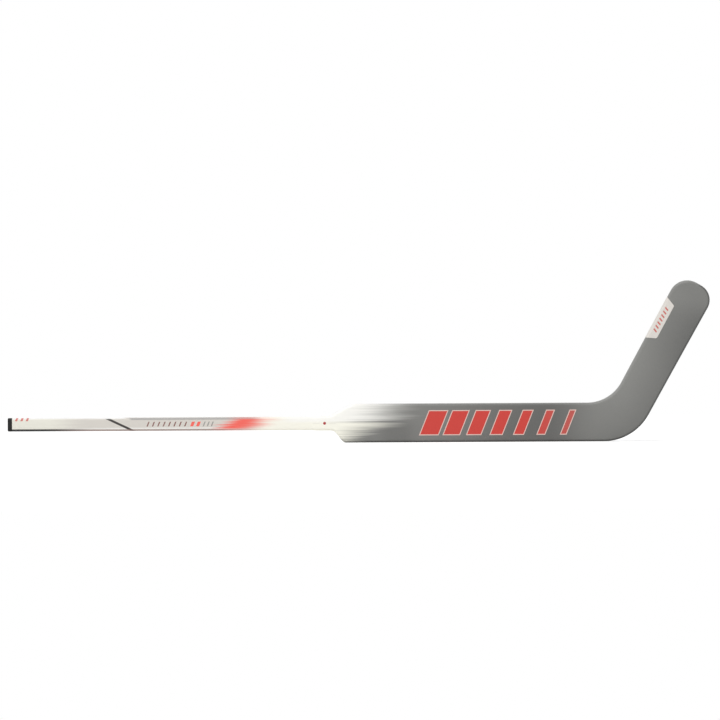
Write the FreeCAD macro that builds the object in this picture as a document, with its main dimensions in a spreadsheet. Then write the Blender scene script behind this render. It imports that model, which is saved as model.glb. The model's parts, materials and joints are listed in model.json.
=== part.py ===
"""Hockey goalie stick: hollow shaft, foam-cored paddle and blade under two half shells, and an end plug.

The stick stands on the paddle's lower edge, with the origin in the middle of that edge's flat. The
shaft runs along X, the blade rises to the right, and the forehand face looks along -Y. The blade's
own directions are "along", from the heel corner to the toe, and "across", from the sole to the upper
edge. The upper edge leans out a little, so the blade widens up to its width at the toe.
"""
import FreeCAD, Part
import os
import Sketcher

# Driving sizes in millimetres and degrees
SIZES = {
    "shaft_width": 30,
    "shaft_thickness": 20,
    "shaft_corner_radius": 5,
    "shaft_wall": 1.6,
    "handle_length": 740,
    "plug_head_length": 10,
    "plug_stem_length": 40,
    "plug_wall": 2,
    "plug_clearance": 0.1,
    "plug_edge_radius": 2.5,
    "plug_lead_in": 1,
    "paddle_width": 86.6,
    "collar_length": 70,
    "collar_feather_length": 14,
    "collar_feather_depth": 0.9,
    "lower_shoulder_from_heel": 649,
    "lower_shoulder_angle": 52,
    "lower_neck_radius": 16,
    "lower_corner_radius": 15.7,
    "upper_shoulder_from_heel": 631,
    "upper_shoulder_angle": 29,
    "upper_neck_radius": 22,
    "upper_corner_radius": 64,
    "blade_angle": 60.9,
    "blade_flare": 0.7,
    "blade_length": 376.5,
    "blade_width": 91.5,
    "heel_radius": 114.5,
    "throat_radius": 87,
    "toe_end_radius": 134,
    "toe_sole_radius": 37,
    "toe_top_radius": 41,
    "curve_start": 90,
    "curve_radius": 1900,
    "toe_thickness": 16.8,
    "shell_wall": 1.2,
    "glue_line": 0.15,
    "rail_width": 6,
    "heel_block_reach": 125,
    "blade_root_reach": 100,
    "tenon_length": 70,
    "shaft_foam_length": 380,
    "rib_width": 6,
    "rib_tongue_length": 35,
    "toe_rail_reach": 60,
    "label_from_toe": 59.5,
    "label_length": 102,
    "label_taper": 10,
    "label_depth": 23,
    "label_thickness": 0.2,
    "label_glue_line": 0.3,
    "dot_diameter": 6.5,
    "dot_thickness": 0.3,
    "dot_from_shoulder": 42,
    "cut_overrun": 20,
}

doc = FreeCAD.newDocument("goalie_stick")
sheet = doc.addObject("Spreadsheet::Sheet", "Sizes")
for row, (alias, size) in enumerate(SIZES.items(), start=1):
    sheet.set(f"A{row}", alias)
    sheet.set(f"B{row}", str(size))
    sheet.setAlias(f"B{row}", alias)
doc.recompute()

# Most of the way from an edge to the blade's middle that a corner of the toe may round off
TOE_ROUND_SHARE = 0.95

# Places worked out from the driving sizes, as expressions
NONE = "0"
SKIN = "(Sizes.shell_wall + Sizes.glue_line)"
AXIS_HEIGHT = "Sizes.paddle_width / 2"
HALF_SHAFT = "Sizes.shaft_width / 2"
HALF_NECK = f"({HALF_SHAFT} + {SKIN})"
HALF_THICKNESS = f"(Sizes.shaft_thickness / 2 + {SKIN})"
EDGE_RADIUS = f"(Sizes.shaft_corner_radius + {SKIN})"
HEEL_X = ("(Sizes.lower_shoulder_from_heel - Sizes.lower_corner_radius * tan(Sizes.lower_shoulder_angle / 2)"
          " + Sizes.heel_radius * tan(Sizes.blade_angle / 2)) / 2")
LOWER_SHOULDER_X = f"({HEEL_X} - Sizes.lower_shoulder_from_heel)"
UPPER_SHOULDER_X = f"({HEEL_X} - Sizes.upper_shoulder_from_heel)"
SHOULDER_RISE = f"({AXIS_HEIGHT} - {HALF_NECK})"
LOWER_NECK_X = f"({LOWER_SHOULDER_X} - {SHOULDER_RISE} / tan(Sizes.lower_shoulder_angle))"
UPPER_NECK_X = f"({UPPER_SHOULDER_X} - {SHOULDER_RISE} / tan(Sizes.upper_shoulder_angle))"
COLLAR_X = f"({LOWER_SHOULDER_X} - Sizes.collar_length)"
BUTT_X = f"({LOWER_SHOULDER_X} - Sizes.handle_length)"
HEEL_CUT_X = f"({HEEL_X} - Sizes.heel_block_reach)"
TOP_EDGE_ANGLE = "(Sizes.blade_angle + Sizes.blade_flare)"
BLADE_MIDDLE = "Sizes.blade_width / 2"
TOE_CENTRE = "(Sizes.blade_length - Sizes.toe_end_radius)"
TOP_DISTANCE = f"({BLADE_MIDDLE} * cos(Sizes.blade_flare) - Sizes.toe_end_radius * sin(Sizes.blade_flare))"
TOE_SOLE_RADIUS = f"min(Sizes.toe_sole_radius; {TOE_ROUND_SHARE} * {BLADE_MIDDLE})"
TOE_TOP_RADIUS = f"min(Sizes.toe_top_radius; {TOE_ROUND_SHARE} * {TOP_DISTANCE})"
TOE_CUT = "(Sizes.blade_length - Sizes.toe_rail_reach)"
DEPTH = "Sizes.blade_width"
CURVE_RUN = "(Sizes.blade_length - Sizes.curve_start)"
FRONT_SET = (f"(Sizes.curve_radius - sqrt(Sizes.curve_radius * Sizes.curve_radius"
             f" - {CURVE_RUN} * {CURVE_RUN}))")
BACK_SET = f"({FRONT_SET} + 2 * {HALF_THICKNESS} - Sizes.toe_thickness)"
BACK_RADIUS = f"({CURVE_RUN} * {CURVE_RUN} + {BACK_SET} * {BACK_SET}) / (2 * {BACK_SET})"
REACH = "(Sizes.lower_shoulder_from_heel + Sizes.collar_length + Sizes.blade_length)"
RAIL_INSET = f"({SKIN} + Sizes.rail_width)"
CORE_INSET = f"({RAIL_INSET} + Sizes.glue_line)"
BORE_WIDTH = "(Sizes.shaft_width - 2 * Sizes.shaft_wall)"
BORE_THICKNESS = "(Sizes.shaft_thickness - 2 * Sizes.shaft_wall)"
BORE_RADIUS = "(Sizes.shaft_corner_radius - Sizes.shaft_wall)"

X_AXIS = FreeCAD.Vector(1, 0, 0)
Y_AXIS = FreeCAD.Vector(0, 1, 0)
QUARTER_TURN = 90
PARALLEL_SHARE = 0.9999


def value(expression):
    """The number that an expression gives with the sheet's sizes."""
    result = sheet.evalExpression(expression)
    return float(getattr(result, "Value", result))


def place(along, across):
    """The X and Z expressions of a point that is given in the blade's own directions."""
    x = f"{HEEL_X} + ({along}) * cos(Sizes.blade_angle) - ({across}) * sin(Sizes.blade_angle)"
    z = f"({along}) * sin(Sizes.blade_angle) + ({across}) * cos(Sizes.blade_angle)"
    return x, z


def bind(target, **expressions):
    """Bind properties of an object to expressions; two underscores in a name stand for a dot."""
    for name, expression in expressions.items():
        target.setExpression(name.replace("__", "."), expression)


def runs_along(edge, direction):
    """True for a straight edge that is parallel to a direction."""
    if edge.Curve.TypeId != "Part::GeomLine":
        return False
    return abs(edge.Curve.Direction.dot(direction)) > PARALLEL_SHARE


def edges_at(body, direction, points):
    """The names of those edges of a body's last feature that run along a direction nearest to each point."""
    straight = [(f"Edge{i}", edge.CenterOfMass) for i, edge in enumerate(body.Tip.Shape.Edges, start=1)
                if runs_along(edge, direction)]
    return [min(straight, key=lambda item: (item[1] - point).cross(direction).Length)[0] for point in points]


def edges_within(body, start, stop):
    """The names of those edges of a body's last feature that lie between two places along X."""
    return [f"Edge{i}" for i, edge in enumerate(body.Tip.Shape.Edges, start=1)
            if edge.BoundBox.XMin > start and edge.BoundBox.XMax < stop]


# Sketches and features

def new_sketch(body, name, plane_role):
    """A sketch on one of a body's own origin planes."""
    planes = {feature.Role: feature for feature in body.Origin.OriginFeatures}
    sketch = body.newObject("Sketcher::SketchObject", name)
    sketch.AttachmentSupport = [(planes[plane_role], "")]
    sketch.MapMode = "FlatFace"
    return sketch


def draw_outline(sketch, corners, arcs=None):
    """A closed outline through corners given as expressions.

    An entry in arcs turns the side that starts at that corner into an arc: its middle point and radius.
    """
    arcs = arcs or {}
    points = [FreeCAD.Vector(value(x), value(y), 0) for x, y in corners]
    count = len(points)
    ends = []
    for i, start in enumerate(points):
        stop = points[(i + 1) % count]
        if i in arcs:
            (x, y), _ = arcs[i]
            sketch.addGeometry(Part.Arc(start, FreeCAD.Vector(value(x), value(y), 0), stop), False)
        else:
            sketch.addGeometry(Part.LineSegment(start, stop), False)
        first, second = sketch.getPoint(i, 1), sketch.getPoint(i, 2)
        in_order = first.distanceToPoint(start) < second.distanceToPoint(start)
        ends.append((1, 2) if in_order else (2, 1))
    for i, (x, y) in enumerate(corners):
        following = (i + 1) % count
        join = Sketcher.Constraint("Coincident", i, ends[i][1], following, ends[following][0])
        sketch.addConstraint(join)
        for kind, expression in (("DistanceX", x), ("DistanceY", y)):
            pin = Sketcher.Constraint(kind, -1, 1, i, ends[i][0], value(expression))
            index = sketch.addConstraint(pin)
            sketch.setExpression(f"Constraints[{index}]", expression)
    for i, (_, radius) in arcs.items():
        index = sketch.addConstraint(Sketcher.Constraint("Radius", i, value(radius)))
        sketch.setExpression(f"Constraints[{index}]", radius)


def pad(body, sketch, length, side="One side", reverse=False):
    """Raise a sketch into a solid."""
    feature = body.newObject("PartDesign::Pad", "Pad")
    feature.Profile = sketch
    feature.SideType = side
    feature.Reversed = reverse
    bind(feature, Length=length)
    doc.recompute()


def pocket(body, sketch, sides="Two sides"):
    """Cut a sketch's area away, on both sides of its plane or on the side that its normal points to."""
    before = body.Tip.Shape.Volume
    feature = body.newObject("PartDesign::Pocket", "Cut")
    feature.Profile = sketch
    feature.SideType = sides
    feature.Reversed = True
    feature.Type = "ThroughAll"
    feature.Type2 = "ThroughAll"
    doc.recompute()
    if not body.Tip.Shape.Volume < before:
        raise RuntimeError(f"{body.Label}: the cut {sketch.Label} took nothing away")


def round_edges(body, edges, radius):
    """Round edges of a body's last feature."""
    base = body.Tip
    feature = body.newObject("PartDesign::Fillet", "Round")
    feature.Base = (base, edges)
    bind(feature, Radius=radius)
    doc.recompute()


# The outline of paddle and blade, and the bend of the blade

def outline_body(label, inset, neck_overrun):
    """A thick plate with the outline of paddle and blade, moved inwards by an inset.

    A corner that turns by some angle moves along its sides by the inset times the tangent of half of it.
    The toe's end is an arc about a centre in the blade's middle. Sole and upper edge pass that centre at
    a distance, and meet the arc after a run that makes a right triangle with the distance and the radius.
    """
    lower_shift = f"({inset}) * tan(Sizes.lower_shoulder_angle / 2)"
    upper_shift = f"({inset}) * tan(Sizes.upper_shoulder_angle / 2)"
    heel_shift = f"({inset}) * tan(Sizes.blade_angle / 2)"
    throat_shift = f"({inset}) * tan({TOP_EDGE_ANGLE} / 2)"
    neck_low = f"{AXIS_HEIGHT} - ({HALF_NECK} - ({inset}))"
    neck_high = f"{AXIS_HEIGHT} + ({HALF_NECK} - ({inset}))"
    top = f"Sizes.paddle_width - ({inset})"
    neck_end = f"{COLLAR_X} - ({neck_overrun})"
    edge_end_x, edge_end_z = place("Sizes.blade_length", "Sizes.blade_width")
    throat_x = f"{edge_end_x} - ({edge_end_z} - Sizes.paddle_width) / tan({TOP_EDGE_ANGLE})"
    toe_radius = f"(Sizes.toe_end_radius - ({inset}))"
    sole_distance = f"({BLADE_MIDDLE} - ({inset}))"
    cosine, sine = "cos(Sizes.blade_flare)", "sin(Sizes.blade_flare)"
    top_distance = f"({TOP_DISTANCE} - ({inset}))"
    sole_run = f"sqrt({toe_radius} * {toe_radius} - {sole_distance} * {sole_distance})"
    top_run = f"sqrt({toe_radius} * {toe_radius} - {top_distance} * {top_distance})"
    toe_sole = place(f"{TOE_CENTRE} + {sole_run}", inset)
    toe_top = place(f"{TOE_CENTRE} + {top_run} * {cosine} - {top_distance} * {sine}",
                    f"{BLADE_MIDDLE} + {top_run} * {sine} + {top_distance} * {cosine}")
    outer = f" - ({inset})"
    inner = f" + ({inset})"
    rounded_corners = [
        ((f"{LOWER_NECK_X} + {lower_shift}", neck_low), "Sizes.lower_neck_radius" + inner),
        ((f"{LOWER_SHOULDER_X} + {lower_shift}", inset), "Sizes.lower_corner_radius" + outer),
        ((f"{HEEL_X} - {heel_shift}", inset), "Sizes.heel_radius" + outer),
        (toe_sole, TOE_SOLE_RADIUS + outer),
        (toe_top, TOE_TOP_RADIUS + outer),
        ((f"{throat_x} + {throat_shift}", top), "Sizes.throat_radius" + inner),
        ((f"{UPPER_SHOULDER_X} + {upper_shift}", top), "Sizes.upper_corner_radius" + outer),
        ((f"{UPPER_NECK_X} + {upper_shift}", neck_high), "Sizes.upper_neck_radius" + inner),
    ]
    corners = [(neck_end, neck_low)]
    corners += [corner for corner, _ in rounded_corners]
    corners += [(neck_end, neck_high)]
    toe_corner = [radius for _, radius in rounded_corners].index(TOE_SOLE_RADIUS + outer) + 1
    toe_middle = place(f"Sizes.blade_length - ({inset})", BLADE_MIDDLE)

    body = doc.addObject("PartDesign::Body", label)
    sketch = new_sketch(body, label + "_outline", "XZ_Plane")
    draw_outline(sketch, corners, {toe_corner: (toe_middle, toe_radius)})
    pad(body, sketch, f"2 * {DEPTH}", side="Symmetric")
    for (x, z), radius in rounded_corners:
        corner = FreeCAD.Vector(value(x), 0, value(z))
        round_edges(body, edges_at(body, Y_AXIS, [corner]), radius)
    return body


def bend_sketch(body, name, level, radius, far):
    """The area between a face of the stick, seen on its edge, and a far line.

    The face is flat up to the start of the blade's curve and then follows an arc towards the front.
    """
    sketch = new_sketch(body, name, "XY_Plane")
    turn = FreeCAD.Rotation(-Y_AXIS, value("Sizes.blade_angle"))
    sketch.AttachmentOffset = FreeCAD.Placement(FreeCAD.Vector(), turn)
    bind(sketch, AttachmentOffset__Base__x=HEEL_X, AttachmentOffset__Rotation__Angle="Sizes.blade_angle")
    start = f"-{REACH}"
    bend = "Sizes.curve_start"
    stop = "(Sizes.blade_length + Sizes.cut_overrun)"

    def arc_point(along):
        run = f"(({along}) - {bend})"
        return along, f"{level} - ({radius}) + sqrt(({radius}) * ({radius}) - {run} * {run})"

    corners = [(start, level), (bend, level), arc_point(stop), (stop, far), (start, far)]
    draw_outline(sketch, corners, {1: (arc_point(f"({bend} + {stop}) / 2"), radius)})
    return sketch


def stick_body(label, inset, neck_overrun=NONE):
    """The rounded form of paddle, neck and blade, with its whole surface moved inwards by an inset."""
    body = outline_body(label, inset, neck_overrun)
    front = bend_sketch(body, label + "_front", f"-({HALF_THICKNESS} - ({inset}))",
                        f"Sizes.curve_radius + ({inset})", f"-{DEPTH}")
    pocket(body, front)
    back = bend_sketch(body, label + "_back", f"{HALF_THICKNESS} - ({inset})",
                       f"{BACK_RADIUS} - ({inset})", DEPTH)
    pocket(body, back)
    across = FreeCAD.Rotation(-Y_AXIS, value("Sizes.blade_angle")).multVec(FreeCAD.Vector(0, 0, 1))
    inside_collar = value(f"({COLLAR_X} + {LOWER_NECK_X}) / 2")
    rim = [f"Edge{i}" for i, edge in enumerate(body.Tip.Shape.Edges, start=1)
           if not runs_along(edge, Y_AXIS) and not runs_along(edge, across)
           and edge.BoundBox.XMax > inside_collar]
    round_edges(body, rim, f"{EDGE_RADIUS} - ({inset})")
    return body


def feather_collar(body):
    """Thin the collar towards its end, so that it runs out on the shaft."""
    inside_collar = value(f"({COLLAR_X} + {LOWER_NECK_X}) / 2")
    end = edges_within(body, value(f"{COLLAR_X} - Sizes.collar_length"), inside_collar)
    base = body.Tip
    feature = body.newObject("PartDesign::Chamfer", "Feather")
    feature.Base = (base, end)
    feature.ChamferType = "Two distances"
    bind(feature, Size="Sizes.collar_feather_length", Size2="Sizes.collar_feather_depth")
    doc.recompute()


# Pieces cut from those forms

def box(label, corner, length, height):
    """A block that spans the whole depth, from a corner given as X and Z."""
    block = doc.addObject("Part::Box", label)
    bind(block, Length=length, Width=f"2 * {DEPTH}", Height=height,
         Placement__Base__x=corner[0], Placement__Base__y=f"-{DEPTH}", Placement__Base__z=corner[1])
    return block


def blade_box(label, along, across):
    """A block in the blade's own directions, between two places along it and two across it."""
    block = box(label, place(along[0], across[0]), f"({along[1]}) - ({along[0]})",
                f"({across[1]}) - ({across[0]})")
    block.Placement = FreeCAD.Placement(block.Placement.Base,
                                        FreeCAD.Rotation(-Y_AXIS, value("Sizes.blade_angle")))
    bind(block, Placement__Rotation__Angle="Sizes.blade_angle")
    return block


def common(label, *members):
    """What all members share."""
    shared = doc.addObject("Part::MultiCommon", label)
    shared.Shapes = list(members)
    return shared


def cut(label, base, tool):
    """A base without what a tool takes away."""
    remainder = doc.addObject("Part::Cut", label)
    remainder.Base = base
    remainder.Tool = tool
    return remainder


def bar_section(body, name, width, thickness):
    """A rectangle about the shaft's axis: thickness along Y and width along Z."""
    sketch = new_sketch(body, name, "YZ_Plane")
    y, z = f"({thickness}) / 2", f"({width}) / 2"
    draw_outline(sketch, [(f"-{y}", f"-{z}"), (y, f"-{z}"), (y, z), (f"-{y}", z)])
    return sketch


def round_bar(body, width, thickness, radius):
    """Round the four long edges of a bar of a given section."""
    half_y, half_z = value(f"({thickness}) / 2"), value(f"({width}) / 2")
    corners = [FreeCAD.Vector(0, y, z) for y in (-half_y, half_y) for z in (-half_z, half_z)]
    round_edges(body, edges_at(body, X_AXIS, corners), radius)


def on_axis(body, x):
    """Put a bar on the shaft's axis, at a place along it."""
    bind(body, Placement__Base__x=x, Placement__Base__z=AXIS_HEIGHT)


def make_shaft_tube():
    """The hollow shaft, from the butt end to the heel block."""
    body = doc.addObject("PartDesign::Body", "shaft_tube")
    outside = ("Sizes.shaft_width", "Sizes.shaft_thickness")
    pad(body, bar_section(body, "tube_outside", *outside), f"{HEEL_CUT_X} - Sizes.glue_line - {BUTT_X}")
    round_bar(body, *outside, "Sizes.shaft_corner_radius")
    bore = (BORE_WIDTH, BORE_THICKNESS)
    pocket(body, bar_section(body, "tube_bore", *bore))
    round_bar(body, *bore, BORE_RADIUS)
    on_axis(body, BUTT_X)
    return body


def bore_bar(label, x, length, clearance):
    """A solid bar that fills the tube's bore but for a clearance."""
    body = doc.addObject("PartDesign::Body", label)
    section = (f"{BORE_WIDTH} - 2 * ({clearance})", f"{BORE_THICKNESS} - 2 * ({clearance})")
    pad(body, bar_section(body, label + "_section", *section), length)
    round_bar(body, *section, f"{BORE_RADIUS} - ({clearance})")
    on_axis(body, x)
    return body


def make_end_plug():
    """The plug: a head flush with the shaft and a hollow stem in the tube's bore."""
    body = bore_bar("end_plug", BUTT_X, "Sizes.plug_stem_length", "Sizes.plug_clearance")
    stem_end = edges_within(body, value("Sizes.plug_stem_length / 2"), value("2 * Sizes.plug_stem_length"))
    base = body.Tip
    lead_in = body.newObject("PartDesign::Chamfer", "LeadIn")
    lead_in.Base = (base, stem_end)
    bind(lead_in, Size="Sizes.plug_lead_in")
    doc.recompute()
    hollow = (f"{BORE_WIDTH} - 2 * (Sizes.plug_clearance + Sizes.plug_wall)",
              f"{BORE_THICKNESS} - 2 * (Sizes.plug_clearance + Sizes.plug_wall)")
    pocket(body, bar_section(body, "plug_hollow", *hollow))
    head = ("Sizes.shaft_width", "Sizes.shaft_thickness")
    pad(body, bar_section(body, "plug_head", *head), "Sizes.plug_head_length", reverse=True)
    round_bar(body, *head, "Sizes.shaft_corner_radius")
    outer_face = edges_within(body, value("-2 * Sizes.plug_head_length"),
                              value("-Sizes.plug_head_length / 2"))
    round_edges(body, outer_face, "Sizes.plug_edge_radius")
    return body


def make_shells():
    """The two half shells, which meet at the parting line in the middle of the edge."""
    outer = stick_body("outer_form", NONE)
    feather_collar(outer)
    inside = stick_body("shell_inside", "Sizes.shell_wall", "Sizes.cut_overrun")
    shell = cut("shell", outer, inside)
    front_half = doc.addObject("PartDesign::Body", "front_half")
    middle_radius = f"2 / (1 / Sizes.curve_radius + 1 / ({BACK_RADIUS}))"
    area = bend_sketch(front_half, "front_area", NONE, middle_radius, f"-{DEPTH}")
    pad(front_half, area, f"2 * {REACH}", side="Symmetric")
    return [common("front_shell", shell, front_half), cut("back_shell", shell, front_half)]


def make_paddle_filling(ring, filling):
    """Edge strips and foam of the paddle, above and below the tube."""
    low_side = f"{AXIS_HEIGHT} - {HALF_SHAFT} - Sizes.glue_line"
    high_side = f"{AXIS_HEIGHT} + {HALF_SHAFT} + Sizes.glue_line"
    stop = f"{HEEL_CUT_X} - Sizes.glue_line"
    bottom = box("paddle_bottom_space", (LOWER_NECK_X, NONE), f"{stop} - {LOWER_NECK_X}", low_side)
    top = box("paddle_top_space", (UPPER_NECK_X, high_side), f"{stop} - {UPPER_NECK_X}",
              f"Sizes.paddle_width - ({high_side})")
    return [common("paddle_bottom_rail", ring, bottom), common("paddle_top_rail", ring, top),
            common("paddle_bottom_core", filling, bottom), common("paddle_top_core", filling, top)]


def make_blade_filling(ring, filling):
    """Edge strips, foam and rib of the blade."""
    root = "Sizes.blade_root_reach"
    rib_low = f"{BLADE_MIDDLE} - Sizes.rib_width / 2"
    rib_high = f"{BLADE_MIDDLE} + Sizes.rib_width / 2"
    far_low, far_high = f"-{DEPTH}", f"2 * {DEPTH}"
    toe = "Sizes.blade_length + Sizes.cut_overrun"
    start = f"{root} + Sizes.glue_line"
    before_toe = f"{TOE_CUT} - Sizes.glue_line"
    sole_side = blade_box("sole_side", (start, before_toe), (far_low, BLADE_MIDDLE))
    top_side = blade_box("top_side", (start, before_toe), (BLADE_MIDDLE, far_high))
    toe_side = blade_box("toe_side", (TOE_CUT, toe), (far_low, far_high))
    below_rib = blade_box("below_rib", (start, toe), (far_low, f"{rib_low} - Sizes.glue_line"))
    above_rib = blade_box("above_rib", (start, toe), (f"{rib_high} + Sizes.glue_line", far_high))
    rib_space = blade_box("rib_space", (f"{root} - Sizes.rib_tongue_length", toe), (rib_low, rib_high))
    return [common("blade_sole_rail", ring, sole_side), common("blade_top_rail", ring, top_side),
            common("toe_rail", ring, toe_side), common("blade_bottom_core", filling, below_rib),
            common("blade_top_core", filling, above_rib), common("blade_rib", filling, rib_space)]


def make_heel_block(core_form):
    """The block at the bend, with a tenon in the tube and a slot for the rib's tongue."""
    root = "Sizes.blade_root_reach"
    beyond_paddle = box("beyond_paddle", (HEEL_CUT_X, f"-{DEPTH}"), REACH, REACH)
    before_blade = blade_box("before_blade", (f"-{REACH}", root), (f"-{DEPTH}", REACH))
    block = common("heel_solid", core_form, beyond_paddle, before_blade)
    slot_half = "(Sizes.rib_width / 2 + Sizes.glue_line)"
    slot = blade_box("tongue_slot", (f"{root} - Sizes.rib_tongue_length - Sizes.glue_line", TOE_CUT),
                     (f"{BLADE_MIDDLE} - {slot_half}", f"{BLADE_MIDDLE} + {slot_half}"))
    slotted = cut("slotted_block", block, slot)
    tenon = bore_bar("tenon", f"{HEEL_CUT_X} - Sizes.tenon_length",
                     "Sizes.tenon_length + Sizes.cut_overrun", "Sizes.glue_line")
    whole = doc.addObject("Part::Fuse", "heel_block")
    whole.Base = slotted
    whole.Tool = tenon
    return whole


def make_shaft_foam():
    """Foam in the tube, up to the tenon."""
    stop = f"{HEEL_CUT_X} - Sizes.tenon_length - Sizes.glue_line"
    return bore_bar("shaft_foam", f"{stop} - Sizes.shaft_foam_length", "Sizes.shaft_foam_length",
                    "Sizes.glue_line")


def make_label():
    """The label: a thin sheet folded over the blade's upper edge, shorter on its inner sides."""
    seat = stick_body("label_seat", "-Sizes.label_glue_line")
    cover = stick_body("label_cover", "-(Sizes.label_glue_line + Sizes.label_thickness)")
    film = cut("film", cover, seat)
    patch = doc.addObject("PartDesign::Body", "label_patch")
    stop = "-Sizes.label_from_toe"
    start = f"({stop} - Sizes.label_length)"
    inner = "-Sizes.label_depth"
    edge = "Sizes.label_depth"
    outline = [(f"{start} + Sizes.label_taper", inner), (f"{stop} - Sizes.label_taper", inner),
               (f"{stop} + Sizes.label_taper", edge), (f"{start} - Sizes.label_taper", edge)]
    sketch = new_sketch(patch, "label_outline", "XZ_Plane")
    draw_outline(sketch, outline)
    pad(patch, sketch, f"2 * {DEPTH}", side="Symmetric")
    patch.Placement = FreeCAD.Placement(FreeCAD.Vector(),
                                        FreeCAD.Rotation(-Y_AXIS, value(TOP_EDGE_ANGLE)))
    edge_end_x, edge_end_z = place("Sizes.blade_length", "Sizes.blade_width")
    bind(patch, Placement__Base__x=edge_end_x, Placement__Base__z=edge_end_z,
         Placement__Rotation__Angle=TOP_EDGE_ANGLE)
    return common("blade_label", film, patch)


def make_finger_dot():
    """The round finger marker on the front of the neck."""
    dot = doc.addObject("Part::Cylinder", "finger_dot")
    dot.Placement = FreeCAD.Placement(FreeCAD.Vector(), FreeCAD.Rotation(X_AXIS, QUARTER_TURN))
    bind(dot, Radius="Sizes.dot_diameter / 2", Height="Sizes.dot_thickness",
         Placement__Base__x=f"{LOWER_SHOULDER_X} - Sizes.dot_from_shoulder",
         Placement__Base__y=f"-{HALF_THICKNESS}", Placement__Base__z=AXIS_HEIGHT)
    return dot


pieces = make_shells()
core_form = stick_body("core_form", SKIN, "Sizes.cut_overrun")
rail_inside = outline_body("rail_inside", RAIL_INSET, NONE)
core_outline = outline_body("core_outline", CORE_INSET, NONE)
edge_ring = cut("edge_ring", core_form, rail_inside)
core_filling = common("core_filling", core_form, core_outline)
pieces += [make_shaft_tube(), make_end_plug(), make_shaft_foam(), make_heel_block(core_form)]
pieces += make_paddle_filling(edge_ring, core_filling)
pieces += make_blade_filling(edge_ring, core_filling)
pieces += [make_label(), make_finger_dot()]
doc.recompute()

for item in doc.Objects:
    if "Invalid" in item.State or "Error" in item.State:
        raise RuntimeError(f"{item.Label} failed: {item.State}")
for piece in pieces:
    if piece.Shape.isNull() or not piece.Shape.isValid() or len(piece.Shape.Solids) != 1:
        raise RuntimeError(f"{piece.Label} is not one sound solid")
os.makedirs("parts", exist_ok=True)
for piece in pieces:
    piece.Shape.exportStep(f"parts/{piece.Label}.step")
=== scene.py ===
"""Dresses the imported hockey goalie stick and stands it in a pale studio.

The stick rests on the paddle's lower edge, the shaft runs along X to the left, the blade rises to the
right and its forehand face looks along -Y. All lengths are in metres. "Along" and "across" are the
blade's own directions: from the heel corner to the toe, and from the sole to the upper edge. That edge
leans out by a small flare, so the blade widens up to its width at the toe.
"""
import json
import math
from collections import namedtuple
import bmesh
import bpy
import numpy as np
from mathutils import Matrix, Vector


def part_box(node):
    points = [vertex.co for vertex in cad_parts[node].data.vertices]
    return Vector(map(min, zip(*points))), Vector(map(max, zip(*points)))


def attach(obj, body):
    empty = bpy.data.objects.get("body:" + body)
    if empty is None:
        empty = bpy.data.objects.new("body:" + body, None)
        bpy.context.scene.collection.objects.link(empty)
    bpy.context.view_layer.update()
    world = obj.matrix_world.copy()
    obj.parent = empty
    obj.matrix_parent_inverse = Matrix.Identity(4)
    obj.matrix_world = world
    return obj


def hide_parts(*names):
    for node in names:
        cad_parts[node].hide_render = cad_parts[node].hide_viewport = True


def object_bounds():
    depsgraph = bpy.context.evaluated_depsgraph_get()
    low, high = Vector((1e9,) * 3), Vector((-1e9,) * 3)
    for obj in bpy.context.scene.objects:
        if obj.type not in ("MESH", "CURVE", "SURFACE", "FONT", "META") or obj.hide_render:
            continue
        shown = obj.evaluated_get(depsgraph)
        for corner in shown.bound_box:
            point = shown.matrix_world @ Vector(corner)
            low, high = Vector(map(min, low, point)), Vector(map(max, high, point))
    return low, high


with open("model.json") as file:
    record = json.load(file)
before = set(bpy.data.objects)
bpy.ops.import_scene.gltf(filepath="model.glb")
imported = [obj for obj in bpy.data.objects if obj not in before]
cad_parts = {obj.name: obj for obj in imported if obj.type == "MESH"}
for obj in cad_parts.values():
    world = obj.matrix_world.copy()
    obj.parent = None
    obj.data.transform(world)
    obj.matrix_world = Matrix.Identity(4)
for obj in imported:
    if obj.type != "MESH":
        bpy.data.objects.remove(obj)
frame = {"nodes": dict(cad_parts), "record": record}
cad_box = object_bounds()

# Sizes that the frame gives
tube_low, tube_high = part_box("shaft_tube")
plug_low, plug_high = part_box("end_plug")
dot_low, dot_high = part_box("finger_dot")
DOT_X = (dot_low.x + dot_high.x) / 2
COLLAR_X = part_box("front_shell")[0].x
HALF_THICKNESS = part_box("back_shell")[1].y
HALF_SHAFT_THICKNESS = tube_high.y
HALF_SHAFT_WIDTH = (tube_high.z - tube_low.z) / 2
AXIS_Z = (tube_high.z + tube_low.z) / 2
PADDLE_WIDTH = 2 * AXIS_Z
BUTT_X = tube_low.x
PLUG_X = plug_low.x
STEM_END_X = plug_high.x

# Shaft and plug
SHAFT_CORNER_RADIUS = 0.005
SHAFT_WALL = 0.0016
PLUG_CLEARANCE = 0.0001
PLUG_WALL = 0.002
PLUG_EDGE_RADIUS = 0.0025
PLUG_LEAD_IN = 0.001
SEAM = 0.00025
TUBE_STATIONS = 40
CORNER_STEPS = 9
DOT_SIDES = 48
DOT_RINGS = 10
DOT_FIRST_RING_SHARE = 0.12
DOT_DOME_POWER = 4
SHARP_ANGLE = math.radians(40)

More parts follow.
